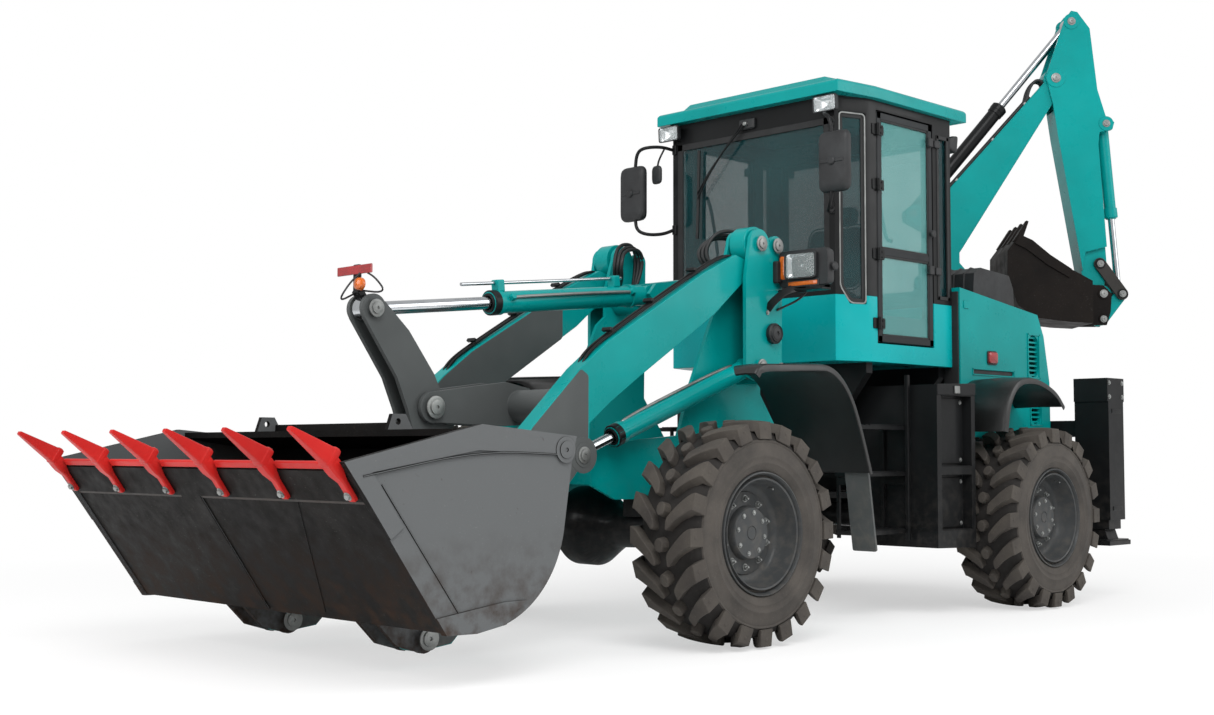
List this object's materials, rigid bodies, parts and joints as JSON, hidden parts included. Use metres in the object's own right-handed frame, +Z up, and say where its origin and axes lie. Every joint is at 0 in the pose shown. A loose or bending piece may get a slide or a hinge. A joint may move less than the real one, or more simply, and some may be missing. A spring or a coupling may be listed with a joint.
{
  "type": "backhoe loader",
  "caption": "Articulated wheeled loader with a toothed front bucket on lifting arms and a side-shifting, swinging digging arm behind a glazed cab.",
  "frame": {"origin": "on the ground under the middle of the machine's bounding box, wheels standing on it", "axes": "+X forward towards the loader bucket, +Y to the machine's left, +Z up"},
  "size_m": [7.6858, 2.374, 4.199],
  "materials": {
    "body_paint": "semi-gloss",
    "grey_paint": "satin",
    "bucket_steel": "satin, worn",
    "tooth_red": "satin",
    "black_paint": "satin",
    "rim_grey": "satin",
    "rubber_tyre": "matt",
    "chrome_rod": "polished",
    "tinted_glass": "tinted",
    "black_plastic": "matt",
    "lamp": "clear lens in a black housing",
    "seat_fabric": "woven"
  },
  "bodies": {
    "rear_chassis": {"rear_frame": "black_paint", "rear_axle": "black_paint", "engine_block": "black_paint", "hood": "body_paint", "air_cleaner_cover": "black_plastic", "rear_fenders": "black_plastic", "side_steps": "black_paint", "cab_tub": "body_paint", "cab_frame": "black_paint", "cab_roof": "body_paint", "cab_glass": "tinted_glass", "cab_fittings": "black_plastic", "seat_cushion": "seat_fabric", "mirrors_and_lamps": "lamp", "shift_frame": "black_paint"},
    "front_chassis": {"front_frame": "body_paint", "front_axle": "black_paint", "front_fenders": "black_plastic", "headlamps": "lamp"},
    "loader_arms": {"loader_arms": "body_paint", "cross_tube": "grey_paint"},
    "loader_bucket": {"loader_bucket": "bucket_steel", "bucket_teeth": "tooth_red"},
    "bellcrank": {"bellcrank": "grey_paint"},
    "bucket_link": {"bucket_link": "grey_paint"},
    "lift_barrels": {"lift_barrels": "body_paint"},
    "lift_rods": {"lift_rods": "chrome_rod"},
    "tilt_barrel": {"tilt_barrel": "body_paint"},
    "tilt_rod": {"tilt_rod": "chrome_rod"},
    "swing_post": {"swing_post": "black_paint"},
    "boom": {"boom": "body_paint"},
    "boom_barrel": {"boom_barrel": "black_paint"},
    "boom_rod": {"boom_rod": "chrome_rod"},
    "crowd_barrel": {"crowd_barrel": "black_paint"},
    "crowd_rod": {"crowd_rod": "chrome_rod"},
    "dipper": {"dipper": "body_paint"},
    "guide_link": {"guide_link": "grey_paint"},
    "hoe_link": {"hoe_bucket_link": "grey_paint"},
    "hoe_bucket": {"hoe_bucket": "bucket_steel"},
    "hoe_bucket_barrel": {"hoe_bucket_barrel": "body_paint"},
    "hoe_bucket_rod": {"hoe_bucket_rod": "chrome_rod"},
    "steer_barrel_left": {"steer_barrel_left": "black_paint"},
    "steer_rod_left": {"steer_rod_left": "chrome_rod"},
    "stabiliser_left": {"stabiliser_leg_left": "black_paint"},
    "door_left": {"door_left": "black_paint", "door_glass_left": "tinted_glass"},
    "steer_barrel_right": {"steer_barrel_right": "black_paint"},
    "steer_rod_right": {"steer_rod_right": "chrome_rod"},
    "stabiliser_right": {"stabiliser_leg_right": "black_paint"},
    "door_right": {"door_right": "black_paint", "door_glass_right": "tinted_glass"},
    "wheel_front_left": {"tyre_front_left": "rubber_tyre", "rim_front_left": "rim_grey"},
    "wheel_front_right": {"tyre_front_right": "rubber_tyre", "rim_front_right": "rim_grey"},
    "wheel_rear_left": {"tyre_rear_left": "rubber_tyre", "rim_rear_left": "rim_grey"},
    "wheel_rear_right": {"tyre_rear_right": "rubber_tyre", "rim_rear_right": "rim_grey"}
  },
  "joints": [
    {"name": "articulation", "type": "hinge", "parent": "rear_chassis", "child": "front_chassis", "pos_m": [-0.12212, 0, 0.85], "axis": [0, 0, 1], "range_deg": [-35, 35]},
    {"name": "wheel_front_left_spin", "type": "hinge", "parent": "front_chassis", "child": "wheel_front_left", "pos_m": [1.24288, 0.9865, 0.54], "axis": [0, 1, 0], "continuous": true},
    {"name": "wheel_front_right_spin", "type": "hinge", "parent": "front_chassis", "child": "wheel_front_right", "pos_m": [1.24288, -0.9865, 0.54], "axis": [0, 1, 0], "continuous": true},
    {"name": "wheel_rear_left_spin", "type": "hinge", "parent": "rear_chassis", "child": "wheel_rear_left", "pos_m": [-1.48712, 0.9865, 0.54], "axis": [0, 1, 0], "continuous": true},
    {"name": "wheel_rear_right_spin", "type": "hinge", "parent": "rear_chassis", "child": "wheel_rear_right", "pos_m": [-1.48712, -0.9865, 0.54], "axis": [0, 1, 0], "continuous": true},
    {"name": "arm_lift", "type": "hinge", "parent": "front_chassis", "child": "loader_arms", "pos_m": [0.57688, 0, 2.037], "axis": [0, -1, 0], "range_deg": [0, 64]},
    {"name": "bucket_tilt", "type": "hinge", "parent": "loader_arms", "child": "loader_bucket", "pos_m": [2.81288, 0, 0.133], "axis": [0, 1, 0], "range_deg": [0, 150]},
    {"name": "crank_swing", "type": "hinge", "parent": "loader_arms", "child": "bellcrank", "pos_m": [2.37788, 0, 1.133], "axis": [0, -1, 0], "range_deg": [0, 75]},
    {"name": "bucket_link_swing", "type": "hinge", "parent": "bellcrank", "child": "bucket_link", "pos_m": [2.30788, 0, 0.8], "axis": [0, -1, 0], "range_deg": [-58.2, 0]},
    {"name": "lift_cylinders_swing", "type": "hinge", "parent": "front_chassis", "child": "lift_barrels", "pos_m": [0.57688, 0, 1.381], "axis": [0, -1, 0], "range_deg": [0, 60.07]},
    {"name": "lift_cylinders_stroke", "type": "slide", "parent": "lift_barrels", "child": "lift_rods", "axis": [0.9373, 0, -0.3486], "range_m": [0, 0.68585]},
    {"name": "tilt_cylinder_swing", "type": "hinge", "parent": "front_chassis", "child": "tilt_barrel", "pos_m": [0.83788, 0, 1.784], "axis": [0, -1, 0], "range_deg": [0, 67.38]},
    {"name": "tilt_cylinder_stroke", "type": "slide", "parent": "tilt_barrel", "child": "tilt_rod", "axis": [0.9942, 0, -0.1072], "range_m": [-0.5, 0]},
    {"name": "steer_left_swing", "type": "hinge", "parent": "rear_chassis", "child": "steer_barrel_left", "pos_m": [-0.55212, 0.3, 0.83], "axis": [0, 0, 1], "range_deg": [-15.12, 15.12]},
    {"name": "steer_left_stroke", "type": "slide", "parent": "steer_barrel_left", "child": "steer_rod_left", "axis": [0.9992, 0.0405, 0], "range_m": [-0.19176, 0.19176]},
    {"name": "steer_right_swing", "type": "hinge", "parent": "rear_chassis", "child": "steer_barrel_right", "pos_m": [-0.55212, -0.3, 0.83], "axis": [0, 0, 1], "range_deg": [-15.12, 15.12]},
    {"name": "steer_right_stroke", "type": "slide", "parent": "steer_barrel_right", "child": "steer_rod_right", "axis": [0.9992, -0.0405, 0], "range_m": [-0.19176, 0.19176]},
    {"name": "hoe_swing", "type": "hinge", "parent": "rear_chassis", "child": "swing_post", "pos_m": [-2.72212, -0.57, 0.8], "axis": [0, 0, -1], "range_deg": [-135, 45]},
    {"name": "boom_lower", "type": "hinge", "parent": "swing_post", "child": "boom", "pos_m": [-2.86354, -0.42858, 1], "axis": [-0.7071, -0.7071, 0], "range_deg": [0, 95]},
    {"name": "boom_cylinder_swing", "type": "hinge", "parent": "swing_post", "child": "boom_barrel", "pos_m": [-3.02618, -0.26594, 0.7], "axis": [0.7071, 0.7071, 0], "range_deg": [-91, 0]},
    {"name": "boom_cylinder_stroke", "type": "slide", "parent": "boom_barrel", "child": "boom_rod", "axis": [0.0149, -0.0149, 0.9998], "range_m": [-0.552, 0]},
    {"name": "dipper_open", "type": "hinge", "parent": "boom", "child": "dipper", "pos_m": [-3.41721, 0.12509, 3.693], "axis": [0.7071, 0.7071, 0], "range_deg": [0, 115]},
    {"name": "crowd_cylinder_swing", "type": "hinge", "parent": "boom", "child": "crowd_barrel", "pos_m": [-2.66909, -0.62303, 2.684], "axis": [0.7071, 0.7071, 0], "range_deg": [0, 5.99]},
    {"name": "crowd_cylinder_stroke", "type": "slide", "parent": "crowd_barrel", "child": "crowd_rod", "axis": [-0.4493, 0.4493, 0.7722], "range_m": [-0.73037, 0]},
    {"name": "hoe_bucket_open", "type": "hinge", "parent": "dipper", "child": "hoe_bucket", "pos_m": [-3.64843, 0.35631, 2.093], "axis": [0.7071, 0.7071, 0], "range_deg": [0, 160]},
    {"name": "guide_link_swing", "type": "hinge", "parent": "dipper", "child": "guide_link", "pos_m": [-3.63429, 0.34217, 2.314], "axis": [0.7071, 0.7071, 0], "range_deg": [0, 93.75]},
    {"name": "hoe_link_swing", "type": "hinge", "parent": "guide_link", "child": "hoe_link", "pos_m": [-3.74672, 0.4546, 2.092], "axis": [0.7071, 0.7071, 0], "range_deg": [-71.72, 0]},
    {"name": "hoe_cylinder_swing", "type": "hinge", "parent": "dipper", "child": "hoe_bucket_barrel", "pos_m": [-3.67601, 0.38389, 3.353], "axis": [0.7071, 0.7071, 0], "range_deg": [0, 5.43]},
    {"name": "hoe_cylinder_stroke", "type": "slide", "parent": "hoe_bucket_barrel", "child": "hoe_bucket_rod", "axis": [-0.0559, 0.0559, -0.9969], "range_m": [-0.38589, 0]},
    {"name": "stabiliser_left_down", "type": "slide", "parent": "rear_chassis", "child": "stabiliser_left", "axis": [0, 0, -1], "range_m": [0, 0.4]},
    {"name": "stabiliser_right_down", "type": "slide", "parent": "rear_chassis", "child": "stabiliser_right", "axis": [0, 0, -1], "range_m": [0, 0.4]},
    {"name": "door_left_open", "type": "hinge", "parent": "rear_chassis", "child": "door_left", "pos_m": [-0.35412, 0.712, 2.2], "axis": [0, 0, -1], "range_deg": [0, 95]},
    {"name": "door_right_open", "type": "hinge", "parent": "rear_chassis", "child": "door_right", "pos_m": [-0.35412, -0.712, 2.2], "axis": [0, 0, 1], "range_deg": [0, 95]}
  ],
  "couplings": [
    {"joint": "crank_swing", "follows": "bucket_tilt", "ratio": 0.5},
    {"joint": "bucket_link_swing", "follows": "bucket_tilt", "ratio": -0.38802},
    {"joint": "lift_cylinders_swing", "follows": "arm_lift", "ratio": 0.93861},
    {"joint": "lift_cylinders_stroke", "follows": "arm_lift", "m_per_rad": 0.61401},
    {"joint": "tilt_cylinder_swing", "follows": "arm_lift", "ratio": 1.0528},
    {"joint": "tilt_cylinder_stroke", "follows": "bucket_tilt", "m_per_rad": -0.19099},
    {"joint": "steer_left_swing", "follows": "articulation", "ratio": 0.43191},
    {"joint": "steer_left_stroke", "follows": "articulation", "m_per_rad": -0.31391},
    {"joint": "steer_right_swing", "follows": "articulation", "ratio": 0.43191},
    {"joint": "steer_right_stroke", "follows": "articulation", "m_per_rad": 0.31391},
    {"joint": "boom_cylinder_swing", "follows": "boom_lower", "ratio": -0.95792},
    {"joint": "boom_cylinder_stroke", "follows": "boom_lower", "m_per_rad": -0.33292},
    {"joint": "crowd_cylinder_swing", "follows": "dipper_open", "ratio": 0.052066},
    {"joint": "crowd_cylinder_stroke", "follows": "dipper_open", "m_per_rad": -0.36389},
    {"joint": "guide_link_swing", "follows": "hoe_bucket_open", "ratio": 0.58596},
    {"joint": "hoe_link_swing", "follows": "hoe_bucket_open", "ratio": -0.44823},
    {"joint": "hoe_cylinder_swing", "follows": "hoe_bucket_open", "ratio": 0.033941},
    {"joint": "hoe_cylinder_stroke", "follows": "hoe_bucket_open", "m_per_rad": -0.13819}
  ]
}
